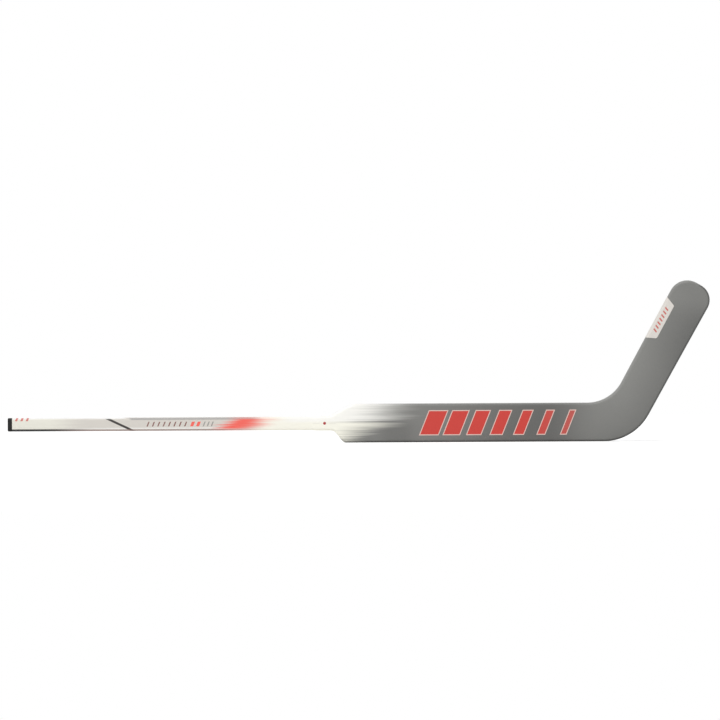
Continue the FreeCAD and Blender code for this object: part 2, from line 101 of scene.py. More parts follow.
# Outline of paddle and blade
COLLAR_LENGTH = 0.070
COLLAR_FEATHER_LENGTH = 0.014
COLLAR_FEATHER_DEPTH = 0.0009
SHELL_WALL = 0.0012
SKIN = HALF_THICKNESS - HALF_SHAFT_THICKNESS
EDGE_RADIUS = SHAFT_CORNER_RADIUS + SKIN
HALF_NECK = HALF_SHAFT_WIDTH + SKIN
LOWER_SHOULDER_X = COLLAR_X + COLLAR_LENGTH
LOWER_SHOULDER_FROM_HEEL = 0.649
UPPER_SHOULDER_FROM_HEEL = 0.631
HEEL_X = LOWER_SHOULDER_X + LOWER_SHOULDER_FROM_HEEL
UPPER_SHOULDER_X = HEEL_X - UPPER_SHOULDER_FROM_HEEL
LOWER_SHOULDER_ANGLE = math.radians(52)
UPPER_SHOULDER_ANGLE = math.radians(29)
SHOULDER_RISE = AXIS_Z - HALF_NECK
LOWER_NECK_X = LOWER_SHOULDER_X - SHOULDER_RISE / math.tan(LOWER_SHOULDER_ANGLE)
UPPER_NECK_X = UPPER_SHOULDER_X - SHOULDER_RISE / math.tan(UPPER_SHOULDER_ANGLE)
BLADE_ANGLE = math.radians(60.9)
BLADE_FLARE = math.radians(0.7)
TOP_EDGE_ANGLE = BLADE_ANGLE + BLADE_FLARE
BLADE_LENGTH = 0.3765
BLADE_WIDTH = 0.0915
TOE_END_RADIUS = 0.134
TOE_SOLE_RADIUS = 0.037
TOE_TOP_RADIUS = 0.041
LOWER_NECK_RADIUS = 0.016
UPPER_NECK_RADIUS = 0.022
LOWER_CORNER_RADIUS = 0.0157
UPPER_CORNER_RADIUS = 0.064
HEEL_RADIUS = 0.1145
THROAT_RADIUS = 0.087
LOWER_RADII = (LOWER_NECK_RADIUS, LOWER_CORNER_RADIUS, HEEL_RADIUS, TOE_SOLE_RADIUS)
UPPER_RADII = (UPPER_NECK_RADIUS, UPPER_CORNER_RADIUS, THROAT_RADIUS, TOE_TOP_RADIUS)

# Points along the straight run and the arc of neck, shoulder, bend and toe corner, and across the face
BORDER_STEPS = ((22, 12), (8, 14), (120, 40), (60, 18))
RUNGS = 29
RIM_STEPS = 9

# Bend of the blade
CURVE_START = 0.090
FRONT_CURVE_RADIUS = 1.9
TOE_THICKNESS = 0.0168
CURVE_RUN = BLADE_LENGTH - CURVE_START
FRONT_SET = FRONT_CURVE_RADIUS - math.sqrt(FRONT_CURVE_RADIUS ** 2 - CURVE_RUN ** 2)
BACK_SET = FRONT_SET + 2 * HALF_THICKNESS - TOE_THICKNESS
BACK_CURVE_RADIUS = (CURVE_RUN ** 2 + BACK_SET ** 2) / (2 * BACK_SET)
PARTING_RADIUS = 2 / (1 / FRONT_CURVE_RADIUS + 1 / BACK_CURVE_RADIUS)
FRONT, BACK = -1, 1
CURVE_RADIUS = {FRONT: FRONT_CURVE_RADIUS, BACK: BACK_CURVE_RADIUS}

# Label
LABEL_FROM_TOE = 0.0595
LABEL_LENGTH = 0.102
LABEL_TAPER = 0.010
LABEL_DEPTH = 0.023
LABEL_CORNER_RADIUS = 0.002
LABEL_BED = 0.00005
LABEL_TOP = 0.00045
LABEL_STEPS = 40
LABEL_FACE_STEPS = 12


# Meshes from arrays

def quads(grid):
    """The four-sided faces between neighbouring rows and columns of a grid of vertex numbers."""
    corners = grid[:-1, :-1], grid[1:, :-1], grid[1:, 1:], grid[:-1, 1:]
    return np.stack(corners, axis=-1).reshape(-1, 4)


def wrapped(grid, axis):
    """A grid of vertex numbers whose first row or column follows its last one again."""
    return np.concatenate([grid, grid.take([0], axis=axis)], axis=axis)


def make_piece(name, vertices, faces, body, node, attributes=None):
    """An object with outward, smoothly shaded faces that stands for a node of the frame."""
    mesh = bpy.data.meshes.new(name)
    mesh.from_pydata(vertices.tolist(), [], faces)
    for attribute, values in (attributes or {}).items():
        layer = mesh.attributes.new(attribute, "FLOAT", "POINT")
        layer.data.foreach_set("value", values.astype(np.float32))
    sculpt = bmesh.new()
    sculpt.from_mesh(mesh)
    bmesh.ops.recalc_face_normals(sculpt, faces=sculpt.faces)
    sculpt.to_mesh(mesh)
    sculpt.free()
    mesh.polygons.foreach_set("use_smooth", np.ones(len(mesh.polygons), dtype=bool))
    mesh.set_sharp_from_angle(angle=SHARP_ANGLE)
    piece = bpy.data.objects.new(name, mesh)
    bpy.context.scene.collection.objects.link(piece)
    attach(piece, body)
    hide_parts(node)
    return piece


def close_sheet(outer, inner, faces, loop):
    """A closed sheet: an outer skin, an inner skin of the same layout, and a rim along their open border."""
    vertices = np.concatenate([outer, inner])
    edge = np.stack([loop, loop + len(outer)], axis=1)
    rim = quads(wrapped(edge, 0))
    return vertices, np.concatenate([faces, faces + len(outer), rim]).tolist()


# Paddle and blade

def direction(angle):
    """Unit vectors in the X-Z plane that point at an angle above +X."""
    return np.stack([np.cos(angle), np.sin(angle)], axis=-1)


def left_of(angle):
    """Unit vectors a quarter turn to the left of a heading."""
    return np.stack([-np.sin(angle), np.cos(angle)], axis=-1)


def blade_point(along, across):
    """X and Z of a point in the blade's own directions."""
    return np.array([HEEL_X, 0]) + along * direction(BLADE_ANGLE) + across * left_of(BLADE_ANGLE)


def top_edge_point(along, across):
    """X and Z of a point in the upper edge's own directions, counted from where that edge ends at the toe."""
    end = blade_point(BLADE_LENGTH, BLADE_WIDTH)
    return end + along * direction(TOP_EDGE_ANGLE) + across * left_of(TOP_EDGE_ANGLE)


def along_blade(points):
    """How far along the blade points in the X-Z plane lie."""
    return (points - np.array([HEEL_X, 0])) @ direction(BLADE_ANGLE)


def bend(along, radius):
    """How far a face is set to the front: nothing up to the curve's start, and then the rise of an arc."""
    run = np.maximum(along - CURVE_START, 0)
    return radius - np.sqrt(radius ** 2 - run ** 2)


def rounded_path(corners, radii, last_heading):
    """Points and headings along straight runs whose corners are rounded by arcs.

    A run stops short of its corner by the radius times the tangent of half the turn. From there the path
    keeps that radius from a centre square to the run until it has the next heading.
    """
    corners = np.array(corners)
    runs = np.diff(corners, axis=0)
    headings = np.append(np.arctan2(runs[:, 1], runs[:, 0]), last_heading)
    points, turned = [], []
    start = corners[0]
    rounded_corners = zip(corners[1:], radii, BORDER_STEPS, headings[:-1], headings[1:])
    for corner, radius, (straight_steps, arc_steps), before, after in rounded_corners:
        side = math.copysign(1, after - before)
        stop = corner - direction(before) * radius * math.tan(abs(after - before) / 2)
        share = np.linspace(0, 1, straight_steps, endpoint=False)[:, None]
        centre = stop + side * radius * left_of(before)
        angles = np.linspace(before, after, arc_steps, endpoint=False)
        points += [start + share * (stop - start), centre - side * radius * left_of(angles)]
        turned += [np.full(straight_steps, before), angles]
        start = centre - side * radius * left_of(after)
    return np.concatenate([*points, start[None]]), np.append(np.concatenate(turned), last_heading)


def toe_corner(distance, radius):
    """How far along an edge its corner at the toe lies, and by how much the border turns there.

    The edge passes the centre of the toe's end arc at a distance, and the way along it starts there. The
    corner's arc touches the end arc from inside, so their centres lie apart by the difference of the radii.
    """
    rise = distance - radius
    reach = math.sqrt((TOE_END_RADIUS - radius) ** 2 - rise ** 2)
    turn = math.pi / 2 - math.atan2(rise, reach)
    return reach + radius * math.tan(turn / 2), turn


def stick_outline():
    """The lower border, the toe and the upper border, each as points with normals that point inwards."""
    low_z, high_z = AXIS_Z - HALF_NECK, AXIS_Z + HALF_NECK
    toe_centre = blade_point(BLADE_LENGTH - TOE_END_RADIUS, BLADE_WIDTH / 2)
    sole_distance = BLADE_WIDTH / 2
    top_distance = sole_distance * math.cos(BLADE_FLARE) - TOE_END_RADIUS * math.sin(BLADE_FLARE)
    sole_run, sole_turn = toe_corner(sole_distance, TOE_SOLE_RADIUS)
    top_run, top_turn = toe_corner(top_distance, TOE_TOP_RADIUS)
    toe_sole = toe_centre + sole_run * direction(BLADE_ANGLE) - sole_distance * left_of(BLADE_ANGLE)
    toe_top = toe_centre + top_run * direction(TOP_EDGE_ANGLE) + top_distance * left_of(TOP_EDGE_ANGLE)
    throat_x = toe_top[0] - (toe_top[1] - PADDLE_WIDTH) / math.tan(TOP_EDGE_ANGLE)
    low_corners = [(COLLAR_X, low_z), (LOWER_NECK_X, low_z), (LOWER_SHOULDER_X, 0), (HEEL_X, 0), toe_sole]
    high_corners = [(COLLAR_X, high_z), (UPPER_NECK_X, high_z), (UPPER_SHOULDER_X, PADDLE_WIDTH),
                    (throat_x, PADDLE_WIDTH), toe_top]
    sole_heading, top_heading = BLADE_ANGLE + sole_turn, TOP_EDGE_ANGLE - top_turn
    low, low_heading = rounded_path(low_corners, LOWER_RADII, sole_heading)
    high, high_heading = rounded_path(high_corners, UPPER_RADII, top_heading)
    toe_angles = np.linspace(sole_heading - math.pi / 2, top_heading + math.pi / 2, RUNGS)
    toe = toe_centre + TOE_END_RADIUS * direction(toe_angles)
    return (low, left_of(low_heading)), (toe, -direction(toe_angles)), (high, -left_of(high_heading))


def half_skin(side, inset, lip, feather_depth):
    """One half of the stick's skin, from the parting line over the rounded rim to the face.

    The face is a grid of straight rungs from the lower to the upper border, drawn out along the blade
    until the last rung is the round toe, at the height of the face's bend. The rim is the arc of a ball
    that touches face and wall, so it starts at the face's lean towards the border and ends upright. A
    straight wall follows, and turns in by a lip at the parting line. Near the collar's end the skin sinks
    evenly by the feather's depth.
    """
    (low, low_in), (toe, toe_in), (high, high_in) = stick_outline()
    radius = EDGE_RADIUS - inset
    share = np.linspace(0, 1, RUNGS)

    def depth(points):
        rest = 1 - (points[..., 0] - COLLAR_X) / COLLAR_FEATHER_LENGTH
        return inset + feather_depth * np.clip(rest, 0, 1)

    def face_height(points):
        return side * (HALF_THICKNESS - depth(points)) - bend(along_blade(points), CURVE_RADIUS[side])

    def lean(points, normals):
        run = np.maximum(along_blade(points + normals * radius) - CURVE_START, 0)
        slope = run / np.sqrt(CURVE_RADIUS[side] ** 2 - run ** 2)
        return np.arctan(side * slope * (normals @ direction(BLADE_ANGLE)))

    def moved_in(points, normals, distance):
        return points + normals * (depth(points) + distance)[..., None]

    low_edge, toe_edge, high_edge = (
        moved_in(points, normals, radius * (1 + np.sin(lean(points, normals))))
        for points, normals in ((low, low_in), (toe, toe_in), (high, high_in)))
    rungs = low_edge[:, None] * (1 - share)[:, None] + high_edge[:, None] * share[:, None]
    blade_steps = sum(BORDER_STEPS[-1])
    pull = np.clip(np.arange(-len(low) + 1, 1) / blade_steps + 1, 0, 1) ** 2
    face = rungs + pull[:, None, None] * (toe_edge - rungs[-1])
    face_points = np.stack([face[..., 0], face_height(face), face[..., 1]], axis=-1)

    border = np.concatenate([low, toe[1:-1], high[::-1]])[:, None]
    normals = np.concatenate([low_in, toe_in[1:-1], high_in[::-1]])[:, None]
    start = lean(border, normals)
    turn = np.linspace(0, 1, RIM_STEPS)[1:] * (math.pi / 2 + start) - start
    wall_inset = np.broadcast_to([0, lip], (len(border), 2))
    rim_inset = np.concatenate([radius * (1 - np.sin(turn)), wall_inset], axis=1)
    rim = moved_in(border, normals, rim_inset)
    ball_middle = moved_in(border, normals, np.array([radius]))
    ball_height = face_height(ball_middle) - side * radius / np.cos(start)
    parting = -bend(along_blade(border), PARTING_RADIUS)
    rounded = ball_height + side * radius * np.cos(turn)
    rim_height = np.concatenate([rounded, parting + side * SEAM, parting], axis=1)
    rim_points = np.stack([rim[..., 0], rim_height, rim[..., 1]], axis=-1)

    face_index = np.arange(face[..., 0].size).reshape(face.shape[:2])
    face_border = np.concatenate([face_index[:, 0], face_index[-1, 1:-1], face_index[::-1, -1]])
    rim_index = face_index.size + np.arange(rim_height.size).reshape(rim_height.shape)
    rim_index = np.concatenate([face_border[:, None], rim_index], axis=1)
    faces = np.concatenate([quads(face_index), quads(rim_index)])
    collar_end = [rim_index[-1, -2::-1], face_index[0, -2:0:-1], rim_index[0, :-1]]
    loop = np.concatenate([rim_index[:, -1], *collar_end])
    vertices = np.concatenate([face_points.reshape(-1, 3), rim_points.reshape(-1, 3)])

    rim_share = np.concatenate([np.zeros(len(low)), share[1:-1], np.ones(len(high))])[:, None]
    across = np.append(np.broadcast_to(share, face.shape[:2]), np.broadcast_to(rim_share, rim_height.shape))
    gap = np.append(np.full(face_index.size, radius), rim_inset)
    return vertices, faces, loop, across, gap


def make_shell(name, node, side):
    """A half shell; its attributes are each point's share of the way across and its distance from the rim."""
    outer, faces, loop, across, gap = half_skin(side, 0, SEAM, COLLAR_FEATHER_DEPTH)
    inner = half_skin(side, SHELL_WALL, 0, 0)[0]
    vertices, faces = close_sheet(outer, inner, faces, loop)
    attributes = {"across": np.tile(across, 2), "from_rim": np.tile(gap, 2)}
    return make_piece(name, vertices, faces, "stick", node, attributes)


def label_skin(rise):
    """The label's sheet, raised from the stick: front face, rim, wall, rim and back face of the upper edge.

    Each profile point has a place across the edge, a drop from the blade's face and a share of the way from
    front to back. The ends slant with the depth and draw in by a quarter circle near the corners.
    """
    flat = np.linspace(-LABEL_DEPTH, -EDGE_RADIUS, LABEL_FACE_STEPS, endpoint=False)
    turn = np.linspace(0, math.pi / 2, RIM_STEPS)
    half_across = np.append(flat, (EDGE_RADIUS + rise) * np.sin(turn) - EDGE_RADIUS)
    half_drop = np.append(np.full(len(flat), -rise), EDGE_RADIUS - (EDGE_RADIUS + rise) * np.cos(turn))
    across = np.append(half_across, half_across[::-1])
    drop = np.append(half_drop, half_drop[::-1])
    back = np.repeat([0, 1], len(half_across))

    from_inner_side = across + LABEL_DEPTH
    corner = np.maximum(LABEL_CORNER_RADIUS - from_inner_side, 0)
    draw_in = LABEL_CORNER_RADIUS - np.sqrt(LABEL_CORNER_RADIUS ** 2 - corner ** 2)
    slant = LABEL_TAPER * (1 - from_inner_side / LABEL_DEPTH) + draw_in
    share = np.linspace(0, 1, LABEL_STEPS)[:, None]
    along = slant + share * (LABEL_LENGTH - 2 * slant) - LABEL_LENGTH - LABEL_FROM_TOE
    places = top_edge_point(along[..., None], across[:, None])
    bent = along_blade(places)
    front_y = -HALF_THICKNESS - bend(bent, FRONT_CURVE_RADIUS) + drop
    back_y = HALF_THICKNESS - bend(bent, BACK_CURVE_RADIUS) - drop
    y = front_y * (1 - back) + back_y * back
    return np.stack([places[..., 0], y, places[..., 1]], axis=-1)


def make_label():
    """A thin closed sheet between the label's bed and its top."""
    top, bed = label_skin(LABEL_TOP), label_skin(LABEL_BED)
    grid = np.arange(top[..., 0].size).reshape(top.shape[:2])
    loop = np.concatenate([grid[:-1, 0], grid[-1, :-1], grid[:0:-1, -1], grid[0, :0:-1]])
    vertices, faces = close_sheet(top.reshape(-1, 3), bed.reshape(-1, 3), quads(grid), loop)
    return make_piece("label_sheet", vertices, faces, "stick", "blade_label")


# Shaft, plug and finger marker

def shaft_rings(x, inset):
    """Rounded rectangles about the shaft's axis, one for each place along X, moved inwards by an inset.

    Each corner is a quarter circle about a centre that lies a radius inside both sides.
    """
    x, inset = np.asarray(x, dtype=float), np.asarray(inset, dtype=float)[:, None]
    radius = SHAFT_CORNER_RADIUS - inset
    quarters = np.arange(4)[:, None] * math.pi / 2
    angles = (quarters + np.linspace(0, math.pi / 2, CORNER_STEPS)).ravel()
    middles = np.repeat(quarters.ravel() + math.pi / 4, CORNER_STEPS)
    y = np.sign(np.cos(middles)) * (HALF_SHAFT_THICKNESS - inset - radius) + radius * np.cos(angles)
    z = np.sign(np.sin(middles)) * (HALF_SHAFT_WIDTH - inset - radius) + radius * np.sin(angles) + AXIS_Z
    return np.stack([np.broadcast_to(x[:, None], y.shape), y, z], axis=-1)


def fan(ring, pole):
    """Three-sided faces from a closed ring of vertex numbers to one more vertex."""
    return np.stack([ring, np.roll(ring, -1), np.full(len(ring), pole)], axis=1).tolist()


def capped_faces(grid):
    """Faces of rings that are closed at both ends by a fan about one more vertex each."""
    first_pole, last_pole = grid.size, grid.size + 1
    return quads(wrapped(grid, 1)).tolist() + fan(grid[0], first_pole) + fan(grid[-1], last_pole)


def make_tube():
    """The hollow shaft: rings along its outside, back along its bore, and a broken edge at the butt end.

    Its attribute is 0 outside and 1 in the bore.
    """
    stations = np.linspace(BUTT_X + SEAM, tube_high.x, TUBE_STATIONS)
    x = np.concatenate([[BUTT_X], stations, stations[::-1], [BUTT_X]])
    bore = np.full(TUBE_STATIONS + 1, SHAFT_WALL)
    inset = np.concatenate([[SEAM], np.zeros(TUBE_STATIONS), bore])
    rings = shaft_rings(x, inset)
    grid = np.arange(rings[..., 0].size).reshape(rings.shape[:2])
    faces = quads(wrapped(wrapped(grid, 0), 1)).tolist()
    attributes = {"in_bore": np.repeat(inset == SHAFT_WALL, rings.shape[1])}
    vertices = rings.reshape(-1, 3)
    return make_piece("shaft_skin", vertices, faces, "stick", "shaft_tube", attributes)


def make_plug():
    """The plug: a head with a rounded edge, and a hollow stem with a lead-in, as rings along the axis."""
    turn = np.linspace(0, math.pi / 2, CORNER_STEPS)
    stem_inset = SHAFT_WALL + PLUG_CLEARANCE
    hollow_inset = stem_inset + PLUG_WALL
    head_x = PLUG_X + PLUG_EDGE_RADIUS * (1 - np.cos(turn))
    head_inset = PLUG_EDGE_RADIUS * (1 - np.sin(turn))
    stem_x = [BUTT_X - SEAM, BUTT_X, BUTT_X, STEM_END_X - PLUG_LEAD_IN, STEM_END_X, STEM_END_X, BUTT_X]
    stem = [0, SEAM, stem_inset, stem_inset, stem_inset + PLUG_LEAD_IN, hollow_inset, hollow_inset]
    rings = shaft_rings(np.append(head_x, stem_x), np.append(head_inset, stem))
    grid = np.arange(rings[..., 0].size).reshape(rings.shape[:2])
    poles = [(PLUG_X, 0, AXIS_Z), (BUTT_X, 0, AXIS_Z)]
    vertices = np.concatenate([rings.reshape(-1, 3), poles])
    return make_piece("butt_plug", vertices, capped_faces(grid), "plug", "end_plug")


def make_dot():
    """The finger marker: a low dome, whose height falls with a power of the radius, on a flat base."""
    share = np.linspace(DOT_FIRST_RING_SHARE, 1, DOT_RINGS)[:, None]
    turn = np.linspace(0, 2 * math.pi, DOT_SIDES, endpoint=False)
    radius = (dot_high.x - dot_low.x) / 2
    base_y, top_y = dot_high.y, dot_low.y
    x = DOT_X + radius * share * np.cos(turn)
    z = AXIS_Z + radius * share * np.sin(turn)
    dome_y = base_y + (top_y - base_y) * (1 - share ** DOT_DOME_POWER)
    rings = np.stack([x, np.broadcast_to(dome_y, x.shape), z], axis=-1)
    grid = np.arange(x.size).reshape(x.shape)
    poles = [(DOT_X, top_y, AXIS_Z), (DOT_X, base_y, AXIS_Z)]
    vertices = np.concatenate([rings.reshape(-1, 3), poles])
    return make_piece("finger_marker", vertices, capped_faces(grid), "stick", "finger_dot")


# Shader maths

def operators(name):
    """The forward and the reflected method of one operator, as Math nodes."""
    def forward(value, other):
        return value.finish.math(name, value, other)

    def reflected(value, other):
        return value.finish.math(name, other, value)
    return forward, reflected


class Value:
    """A socket of a node tree; an expression on values adds Math nodes to that tree."""
    __add__, __radd__ = operators("ADD")
    __sub__, __rsub__ = operators("SUBTRACT")
    __mul__, __rmul__ = operators("MULTIPLY")
    __truediv__, __rtruediv__ = operators("DIVIDE")
    __lt__, __gt__ = operators("LESS_THAN")

    def __init__(self, finish, socket):
        self.finish = finish
        self.socket = socket

    def __abs__(self):
        return self.finish.math("ABSOLUTE", self)


class Finish:
    """The nodes of a material or of the world."""

    def __init__(self, owner):
        owner.use_nodes = True
        self.tree = owner.node_tree
        self.tree.nodes.clear()

    def node(self, kind, settings=None, inputs=None, outputs=(0,)):
        """A node of a type, with its settings first and then its sockets' values or links.

        It gives the value of its one named output, or a list where it has several or none.
        """
        node = self.tree.nodes.new("ShaderNode" + kind)
        for name, setting in (settings or {}).items():
            setattr(node, name, setting)
        for key, value in (inputs or {}).items():
            if isinstance(value, Value):
                self.tree.links.new(value.socket, node.inputs[key])
            else:
                node.inputs[key].default_value = value
        values = [Value(self, node.outputs[name]) for name in outputs]
        return values[0] if len(values) == 1 else values

    def math(self, operation, *values):
        """A Math node of an operation."""
        return self.node("Math", {"operation": operation}, dict(enumerate(values)))

    def mix(self, first, second, factor):
        """A colour between two colours."""
        return self.node("Mix", {"data_type": "RGBA"}, {0: factor, 6: first, 7: second}, (2,))

    def rise(self, value, start, stop):
        """A smooth step from 0 at one value to 1 at another."""
        inputs = {"Value": value, "From Min": start, "From Max": stop}
        return self.node("MapRange", {"interpolation_type": "SMOOTHSTEP"}, inputs)

    def fall(self, value, start, stop):
        """A smooth step from 1 at one value to 0 at another."""
        return 1 - self.rise(value, start, stop)

    def band(self, value, start, stop):
        """1 between two soft edges and 0 outside; each edge is a pair of values."""
        return self.rise(value, *start) * self.fall(value, *stop)

    def position(self):
        """The object coordinates, as a vector."""
        return self.node("TexCoord", outputs=("Object",))

    def axes(self):
        """The three object coordinates, as values."""
        return self.node("SeparateXYZ", inputs={0: self.position()}, outputs=("X", "Y", "Z"))

    def attribute(self, name):
        """A number that the mesh gives for each point."""
        return self.node("Attribute", {"attribute_name": name}, outputs=("Fac",))

    def noise(self, pattern):
        """Cloudy noise of a pattern, between 0 and 1."""
        factors = {0: self.position(), 1: pattern.spots}
        stretched = self.node("VectorMath", {"operation": "MULTIPLY"}, factors)
        inputs = {"Vector": stretched, "Scale": 1.0, "Detail": pattern.detail, "Roughness": pattern.roughness}
        return self.node("TexNoise", inputs=inputs)

    def fray(self, pattern, width):
        """Noise of a pattern about zero, with a width as its full range."""
        return (self.noise(pattern) - 0.5) * width

    def cells(self, spots):
        """The distance to the nearest of many scattered points, of which a metre holds a number."""
        inputs = {"Vector": self.position(), "Scale": spots}
        return self.node("TexVoronoi", inputs=inputs, outputs=("Distance",))

    def bump(self, height, strength, distance):
        """A normal from a height."""
        return self.node("Bump", inputs={"Strength": strength, "Distance": distance, "Height": height})

    def close(self, kind, shader):
        """End the tree with a shader as its surface."""
        self.node(kind, inputs={"Surface": shader}, outputs=())

    def surface(self, **inputs):
        """End the tree with a Principled shader; an underscore in a name stands for a space."""
        named = {key.replace("_", " "): value for key, value in inputs.items()}
        self.close("OutputMaterial", self.node("BsdfPrincipled", inputs=named))


def linear(red, green, blue):
    """The linear colour of an sRGB colour given from 0 to 255."""
    def channel(level):
        level /= 255
        return level / 12.92 if level <= 0.04045 else ((level + 0.055) / 1.055) ** 2.4
    return channel(red), channel(green), channel(blue), 1.0


# Noise patterns: spots per metre in each direction, octaves of detail, and how strong the finer ones are
Noise = namedtuple("Noise", "spots detail roughness", defaults=(3.0, 0.5))

# Paint of shaft and neck
SHAFT_PALE = linear(238, 236, 225)
SHAFT_GREY = linear(219, 214, 207)
PALE_REACH = (BUTT_X + 0.07, BUTT_X + 0.17)
PALE_NOISE = Noise((2.5, 60, 160), 4.0)
PALE_DRIFT = 0.12
GRAIN_GREY = linear(196, 192, 184)
GRAIN_NOISE = Noise((12, 700, 700), roughness=0.6)
GRAIN_EDGE = (0.45, 0.75)
GRAIN_STRENGTH = 0.16
CREAM = linear(253, 251, 239)
CREAM_REACH = (COLLAR_X - 0.1593, COLLAR_X - 0.0993)
# Painted highlight: the neck's upper half is whiter
NECK_HIGHLIGHT = linear(255, 254, 249)
NECK_HIGHLIGHT_REACH = (COLLAR_X - 0.0853, COLLAR_X - 0.0353)
NECK_HIGHLIGHT_RISE = (AXIS_Z - 0.001, AXIS_Z + 0.007)
BORE_DARK = linear(52, 51, 50)
CUT_EDGE = (0.0, 0.3)

# Lines along the shaft's edges; the white line on the upper corner and the pale line above the brown line are
# painted highlights
SHAFT_TOP = AXIS_Z + HALF_SHAFT_WIDTH
SHAFT_BOTTOM = AXIS_Z - HALF_SHAFT_WIDTH
HIGHLIGHT_WHITE = linear(250, 250, 248)
# Painted highlight along the shaft's upper rounded corner near the butt
TOP_CORNER_HIGHLIGHT_EDGE = (SHAFT_TOP - 0.0038, SHAFT_TOP - 0.0012)
TOP_CORNER_HIGHLIGHT_STOP = (BUTT_X + 0.2447, BUTT_X + 0.2597)
TOP_CORNER_HIGHLIGHT_NOISE = Noise((14, 60, 160), 4.0)
TOP_CORNER_HIGHLIGHT_FRAY = 0.003
# Grey of the pin line, also used for the painted shade of the neck's ridges
PIN_AND_SHADE_GREY = linear(168, 166, 164)
PIN_LINE_LOW = (SHAFT_TOP - 0.0066, SHAFT_TOP - 0.0044)
PIN_LINE_HIGH = (SHAFT_TOP - 0.0016, SHAFT_TOP - 0.0002)
PIN_LINE_START = (BUTT_X + 0.2687, BUTT_X + 0.2807)
PIN_LINE_STOP = (COLLAR_X - 0.1303, COLLAR_X - 0.0953)
PIN_LINE_STRENGTH = 0.9
LINE_BROWN = linear(150, 120, 114)
BROWN_LINE_EDGE = (SHAFT_BOTTOM + 0.0030, SHAFT_BOTTOM + 0.0046)
BROWN_LINE_STOP = (COLLAR_X - 0.2153, COLLAR_X - 0.1353)
BROWN_LINE_STRENGTH = 0.7
LINE_BLACK = linear(18, 16, 15)
BLACK_LINE_EDGE = (SHAFT_BOTTOM + 0.0038, SHAFT_BOTTOM + 0.0060)
BLACK_LINE_STOP = (BUTT_X + 0.07, BUTT_X + 0.20)
# Painted highlight: a soft pale line above the brown line, where the face turns into the lower corner
LOWER_HIGHLIGHT_EDGE = (SHAFT_BOTTOM + 0.0055, SHAFT_BOTTOM + 0.0090)
LOWER_HIGHLIGHT_START = (BUTT_X + 0.0747, BUTT_X + 0.2547)
LOWER_HIGHLIGHT_STOP = (COLLAR_X - 0.1953, COLLAR_X - 0.1353)
LOWER_HIGHLIGHT_STRENGTH = 0.7

# Slanted stripe, and faint grey lines of painted shade along the neck's ridges on both sides of the finger
# marker
STRIPE_DARK = linear(46, 42, 38)
STRIPE_X = BUTT_X + 0.2397
STRIPE_SLOPE = -2.1
STRIPE_EDGE = (0.0048, 0.0068)
RIDGE_SHADE_MIDDLES = (DOT_X - 0.0193, DOT_X + 0.0182)
RIDGE_SHADE_HALF_LENGTH = (0.004, 0.011)
RIDGE_SHADE_EDGE = (0.0003, 0.0020)
RIDGE_SHADE_STRENGTH = 0.18

# Red brush mark, weaker towards the shaft's edges
SMEAR_RED = linear(248, 104, 92)
SMEAR_START = (COLLAR_X - 0.2133, COLLAR_X - 0.1693)
SMEAR_STOP = (COLLAR_X - 0.1593, COLLAR_X - 0.0753)
SMEAR_LEAN = 1.5
SMEAR_BROAD_NOISE = Noise((4, 60, 200))
SMEAR_BROAD_FRAY = 0.06
SMEAR_FINE_NOISE = Noise((9, 90, 520), roughness=0.6)
SMEAR_FINE_FRAY = 0.08
SMEAR_EDGE = (HALF_SHAFT_WIDTH - 0.0065, HALF_SHAFT_WIDTH - 0.0025)
SMEAR_EDGE_LOSS = 0.65

# Grey of paddle and blade: tones from deep to light, and stretches along X or along the blade; the blade's
# darker stretch towards the toe is painted shade, and the paler top and darker bottom are painted light and
# shade
DEEP_GREY = linear(88, 88, 86)
LIGHT_GREY = linear(138, 138, 135)
PLAIN_TONE = 0.44
CLOUD_NOISE = Noise((5, 5, 9), 2.0)
CLOUD_TONE = 0.11
FLAKE_NOISE = Noise((900, 900, 900), 2.0)
FLAKE_TONE = 0.27
# Painted light and shade: paler towards the top and darker towards the sole, most on the blade
PADDLE_PAINTED_LIGHT = 0.02
BLADE_PAINTED_LIGHT = 0.50
PAINTED_LIGHT_CHANGE = (HEEL_X - 0.1543, HEEL_X + 0.0057)
PAINTED_LIGHT_STOP = (BLADE_LENGTH - 0.0665, BLADE_LENGTH - 0.0065)
PADDLE_SHADE = 0.54
PADDLE_SHADE_START = (LOWER_SHOULDER_X + 0.1447, LOWER_SHOULDER_X + 0.4447)
PADDLE_SHADE_STOP = (HEEL_X - 0.1943, HEEL_X - 0.0793)
# Painted shade of the curved blade, darker towards the toe
BLADE_PAINTED_SHADE = 0.19
BLADE_PAINTED_SHADE_START = (0.150, 0.250)
BLADE_PAINTED_SHADE_STOP = (BLADE_LENGTH - 0.0915, BLADE_LENGTH - 0.0315)
SHOULDER_SHADE = 0.26
SHOULDER_SHADE_START = (LOWER_SHOULDER_X + 0.0647, LOWER_SHOULDER_X + 0.1097)
SHOULDER_SHADE_STOP = (LOWER_SHOULDER_X + 0.1297, LOWER_SHOULDER_X + 0.1797)
SHOULDER_SHADE_SHARES = (0.35, 0.64)

# Lines along the rims of paddle and blade, by the distance from the rim and the share of the way across: a
# dark painted edge on the sole that also stands for its shade, and a painted highlight on the upper edge
# Dark painted edge along the sole, also standing for the underside's shade
EDGE_DARK_AND_SHADE = linear(44, 44, 42)
SOLE_DARK_AND_SHADE_LINE = (0.0008, 0.0050)
SOLE_DARK_AND_SHADE_START = (LOWER_SHOULDER_X - 0.008, LOWER_SHOULDER_X + 0.010)
SOLE_DARK_AND_SHADE_SHARES = (0.0, 0.7)
SOLE_DARK_AND_SHADE_STRENGTH = 0.95
# Painted highlight along the upper edge
EDGE_HIGHLIGHT = linear(156, 156, 153)
TOP_EDGE_HIGHLIGHT = (0.0005, 0.0035)
TOP_EDGE_HIGHLIGHT_SHARES = (0.4, 1.0)
TOP_EDGE_HIGHLIGHT_STRENGTH = 0.4

